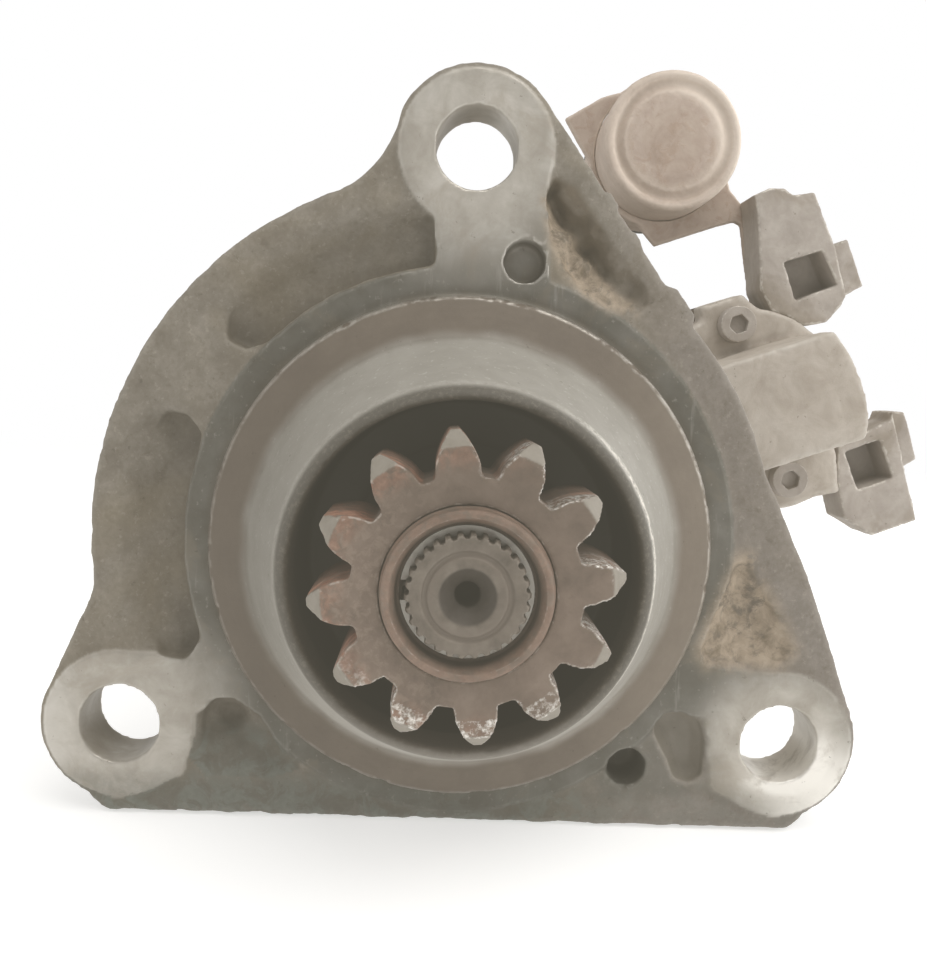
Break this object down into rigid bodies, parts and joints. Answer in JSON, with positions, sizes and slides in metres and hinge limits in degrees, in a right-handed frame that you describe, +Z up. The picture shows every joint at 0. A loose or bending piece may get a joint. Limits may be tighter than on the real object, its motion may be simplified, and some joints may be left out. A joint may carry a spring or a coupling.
{
  "type": "starter motor",
  "caption": "Flange-mounted planetary starter motor with an open nose, sliding pinion, side solenoid and pilot relay.",
  "frame": {"origin": "pinion axis where it crosses the mounting face", "axes": "+Y back along the motor, -Y into the engine's flywheel housing, +Z up through the top mounting hole"},
  "size_m": [0.2023, 0.3496, 0.1666],
  "materials": {
    "casting": "weathered sand casting with machined faces",
    "end_casting": "weathered casting",
    "gear_steel": "hardened steel, worn, light surface rust",
    "shaft_steel": "ground steel, dusty",
    "bearing_steel": "ground",
    "seal_rubber": "matte",
    "yoke_paint": "dull dark paint over steel, chipped",
    "fastener": "zinc plated, dulled",
    "copper": "bare copper, tarnished",
    "varnish": "baked insulating varnish",
    "laminations": "laminated",
    "brush_carbon": "copper-graphite",
    "phenolic": "moulded phenolic",
    "block_casting": "weathered",
    "can_steel": "pressed steel, rusty and dusty",
    "braid": "tinned copper braid, oxidised"
  },
  "bodies": {
    "housing": {"drive_housing": "casting", "nose_seal": "seal_rubber", "nose_bearing": "bearing_steel", "ring_gear": "gear_steel", "gear_case": "end_casting", "gear_plate": "fastener", "yoke": "yoke_paint", "pole_shoes": "laminations", "pole_screws": "fastener", "field_coils": "varnish", "brush_plate": "fastener", "brushes": "brush_carbon", "brush_springs": "fastener", "rear_cover": "end_casting", "rear_bearing": "bearing_steel", "rear_cap": "can_steel", "rear_cap_screws": "fastener", "through_bolts": "fastener", "lever_pivot_pin": "bearing_steel", "solenoid_case": "yoke_paint", "solenoid_screws": "fastener", "solenoid_coil": "copper", "solenoid_core": "shaft_steel", "solenoid_cap": "phenolic", "power_studs": "copper", "control_stud": "copper", "stud_nuts": "fastener", "lead_grommet": "seal_rubber", "motor_lead": "braid", "relay_bracket": "can_steel", "terminal_block_upper": "block_casting", "terminal_block_lower": "block_casting", "relay_can": "can_steel", "relay_base": "phenolic", "relay_coil": "copper", "relay_blades": "copper"},
    "armature": {"armature_shaft": "shaft_steel", "armature_core": "laminations", "armature_windings": "copper", "commutator": "copper"},
    "carrier": {"planet_carrier": "shaft_steel", "planet_pins": "bearing_steel", "clutch_outer": "shaft_steel", "clutch_rollers": "bearing_steel"},
    "planet_1": {"planet_gear_1": "gear_steel"},
    "planet_2": {"planet_gear_2": "gear_steel"},
    "planet_3": {"planet_gear_3": "gear_steel"},
    "clutch_hub": {"clutch_inner": "bearing_steel"},
    "shaft": {"pinion_shaft": "shaft_steel", "snap_ring": "fastener", "stop_ring": "gear_steel", "pinion_spring": "fastener"},
    "pinion": {"pinion_gear": "gear_steel"},
    "lever": {"shift_lever": "shaft_steel", "fork_pads": "phenolic"},
    "solenoid_plunger": {"plunger": "shaft_steel", "plunger_pin": "bearing_steel", "plunger_spring": "fastener"},
    "contact": {"contact_disc": "copper"},
    "relay_armature": {"relay_plunger": "shaft_steel"}
  },
  "joints": [
    {"name": "armature_spin", "type": "hinge", "parent": "housing", "child": "armature", "pos_m": [0, 0.2, 0], "axis": [0, 1, 0], "continuous": true},
    {"name": "carrier_spin", "type": "hinge", "parent": "housing", "child": "carrier", "pos_m": [0, 0.117, 0], "axis": [0, 1, 0], "continuous": true},
    {"name": "planet_1_spin", "type": "hinge", "parent": "carrier", "child": "planet_1", "pos_m": [0, 0.1335, 0.02625], "axis": [0, 1, 0], "continuous": true},
    {"name": "planet_2_spin", "type": "hinge", "parent": "carrier", "child": "planet_2", "pos_m": [-0.02273, 0.1335, -0.01312], "axis": [0, 1, 0], "continuous": true},
    {"name": "planet_3_spin", "type": "hinge", "parent": "carrier", "child": "planet_3", "pos_m": [0.02273, 0.1335, -0.01312], "axis": [0, 1, 0], "continuous": true},
    {"name": "overrun_spin", "type": "hinge", "parent": "carrier", "child": "clutch_hub", "pos_m": [0, 0.096, 0], "axis": [0, 1, 0], "continuous": true},
    {"name": "pinion_slide", "type": "slide", "parent": "clutch_hub", "child": "shaft", "axis": [0, -1, 0], "range_m": [0, 0.02]},
    {"name": "pinion_cushion", "type": "slide", "parent": "shaft", "child": "pinion", "axis": [0, 1, 0], "range_m": [0, 0.005], "stiffness_N_per_m": 4000, "springref_m": -0.004, "deforming": ["pinion_spring"]},
    {"name": "lever_swing", "type": "hinge", "parent": "housing", "child": "lever", "pos_m": [0.04511, 0.062, 0.01642], "axis": [-0.342, 0, 0.9397], "range_deg": [0, 23.6]},
    {"name": "plunger_slide", "type": "slide", "parent": "housing", "child": "solenoid_plunger", "axis": [0, 1, 0], "range_m": [0, 0.0134], "deforming": ["plunger_spring"]},
    {"name": "contact_slide", "type": "slide", "parent": "housing", "child": "contact", "axis": [0, 1, 0], "range_m": [0, 0.0025]},
    {"name": "relay_slide", "type": "slide", "parent": "housing", "child": "relay_armature", "axis": [0, 1, 0], "range_m": [0, 0.0025], "stiffness_N_per_m": 600, "springref_m": -0.002}
  ],
  "couplings": [
    {"joint": "carrier_spin", "follows": "armature_spin", "ratio": 0.2},
    {"joint": "planet_1_spin", "follows": "armature_spin", "ratio": -0.53333},
    {"joint": "planet_2_spin", "follows": "armature_spin", "ratio": -0.53333},
    {"joint": "planet_3_spin", "follows": "armature_spin", "ratio": -0.53333},
    {"joint": "lever_swing", "follows": "pinion_slide", "rad_per_m": 20.5},
    {"joint": "plunger_slide", "follows": "pinion_slide", "ratio": 0.66667},
    {"joint": "contact_slide", "follows": "pinion_slide", "ratio": 0.125}
  ]
}
